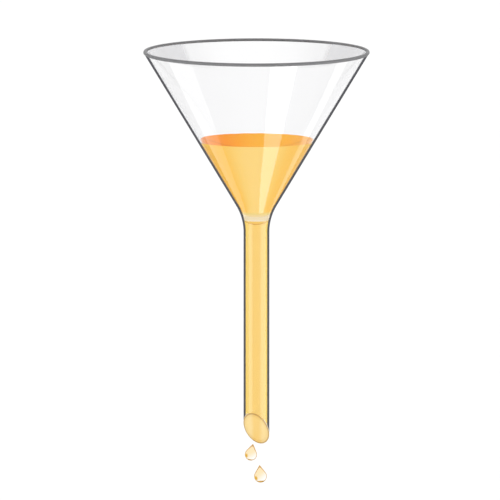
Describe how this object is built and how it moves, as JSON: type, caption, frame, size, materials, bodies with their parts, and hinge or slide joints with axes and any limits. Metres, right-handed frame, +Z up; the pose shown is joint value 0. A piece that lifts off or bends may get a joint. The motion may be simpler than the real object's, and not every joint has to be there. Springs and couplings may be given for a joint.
{
  "type": "conical filter funnel",
  "caption": "Glass laboratory filter funnel with a beaded rim and a long slant-cut stem, holding amber liquid that drips from the tip.",
  "frame": {"origin": "on the funnel's axis, at the height where the cone is 60 mm across outside and a support ring carries it", "axes": "+Z up along the axis towards the rim; the stem's slanted mouth faces -Y, so its lowest point is at +Y"},
  "size_m": [0.1, 0.1, 0.1927],
  "materials": {
    "bowl_glass": "gloss",
    "stem_glass": "gloss",
    "pool_liquid": "gloss",
    "column_liquid": "gloss",
    "drop_liquid": "gloss"
  },
  "bodies": {
    "funnel": {"bowl": "bowl_glass", "stem": "stem_glass", "liquid_pool": "pool_liquid", "stem_liquid": "column_liquid"},
    "upper_drop": {"drop_upper": "drop_liquid"},
    "lower_drop": {"drop_lower": "drop_liquid"}
  },
  "joints": [
    {"name": "upper_drop_fall", "type": "slide", "parent": "funnel", "child": "upper_drop", "axis": [0, 0, -1], "range_m": [0, 0.02]},
    {"name": "lower_drop_fall", "type": "slide", "parent": "funnel", "child": "lower_drop", "axis": [0, 0, -1], "range_m": [0, 0.03]}
  ],
  "couplings": [
    {"joint": "lower_drop_fall", "follows": "upper_drop_fall", "ratio": 1.5}
  ]
}
